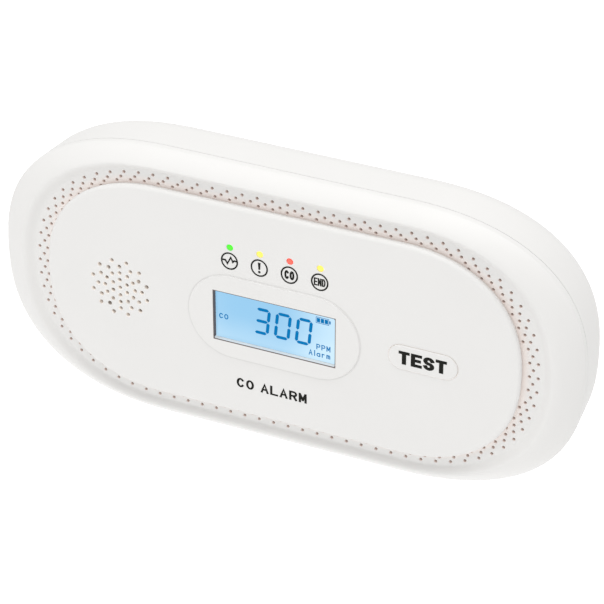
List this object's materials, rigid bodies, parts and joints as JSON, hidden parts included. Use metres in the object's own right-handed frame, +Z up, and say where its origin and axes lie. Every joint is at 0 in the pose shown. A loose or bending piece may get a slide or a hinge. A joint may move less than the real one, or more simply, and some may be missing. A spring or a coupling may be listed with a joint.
{
  "type": "carbon monoxide detector",
  "caption": "Wall-hung carbon monoxide alarm with a backlit display, indicator lamps, a test key, a vented rim and a rear battery bay.",
  "frame": {"origin": "centre of the flat back, in the plane of the wall", "axes": "+X to the right of someone facing the front, +Z up, +Y into the wall"},
  "size_m": [0.148, 0.0263, 0.0732],
  "materials": {
    "rear_shell": "fine satin texture",
    "front_shell": "fine satin texture",
    "panel_shell": "smooth satin",
    "door_shell": "fine satin texture",
    "key": "smooth satin",
    "gasket": "matt",
    "lcd": "lit, under clear polariser",
    "diffuser": "milky",
    "elastomer": "matt",
    "switch_black": "matt",
    "lamp_green": "clear tinted",
    "lamp_yellow": "clear tinted",
    "lamp_red": "clear tinted",
    "led_body": "clear",
    "black_plastic": "matt",
    "brass": "satin",
    "red_lead": "smooth",
    "black_lead": "smooth",
    "board": "solder mask",
    "capacitor_sleeve": "shrink sleeve",
    "steel": "satin",
    "cell_label": "printed sleeve",
    "nickel": "plated spring steel"
  },
  "bodies": {
    "case": {"rear_housing": "rear_shell", "front_housing": "front_shell", "front_panel": "panel_shell", "display_gasket": "gasket", "lcd_glass": "lcd", "lcd_backlight": "diffuser", "lcd_connector": "elastomer", "switch_body": "switch_black", "light_pipe_power": "lamp_green", "led_power": "led_body", "light_pipe_fault": "lamp_yellow", "led_fault": "led_body", "light_pipe_alarm": "lamp_red", "led_alarm": "led_body", "light_pipe_end_of_life": "lamp_yellow", "led_end_of_life": "led_body", "sounder_case": "black_plastic", "sounder_disc": "brass", "sounder_lead_red": "red_lead", "sounder_lead_black": "black_lead", "main_board": "board", "controller_chip": "black_plastic", "buffer_capacitor": "capacitor_sleeve", "boost_inductor": "black_plastic", "co_sensor": "steel", "case_screw_1": "steel", "case_screw_2": "steel", "case_screw_3": "steel", "case_screw_4": "steel", "board_screw_1": "steel", "board_screw_2": "steel", "board_screw_3": "steel", "battery_cell_1": "cell_label", "battery_cell_2": "cell_label", "battery_cell_3": "cell_label", "contact_left_pair": "nickel", "contact_left_single": "nickel", "contact_right_single": "nickel", "contact_right_pair": "nickel"},
    "test_key": {"test_button": "key"},
    "plunger": {"switch_plunger": "switch_black"},
    "door": {"battery_door": "door_shell"}
  },
  "joints": [
    {"name": "test_button_press", "type": "slide", "parent": "case", "child": "test_key", "axis": [0, 1, 0], "range_m": [0, 0.0004], "stiffness_N_per_m": 3000, "springref_m": -0.0002},
    {"name": "switch_plunger_press", "type": "slide", "parent": "case", "child": "plunger", "axis": [0, 1, 0], "range_m": [0, 0.0004]},
    {"name": "battery_door_hinge", "type": "hinge", "parent": "case", "child": "door", "pos_m": [0, -0.0016, 0.0226], "axis": [1, 0, 0], "range_deg": [0, 90]}
  ],
  "couplings": [
    {"joint": "switch_plunger_press", "follows": "test_button_press", "ratio": 1}
  ]
}
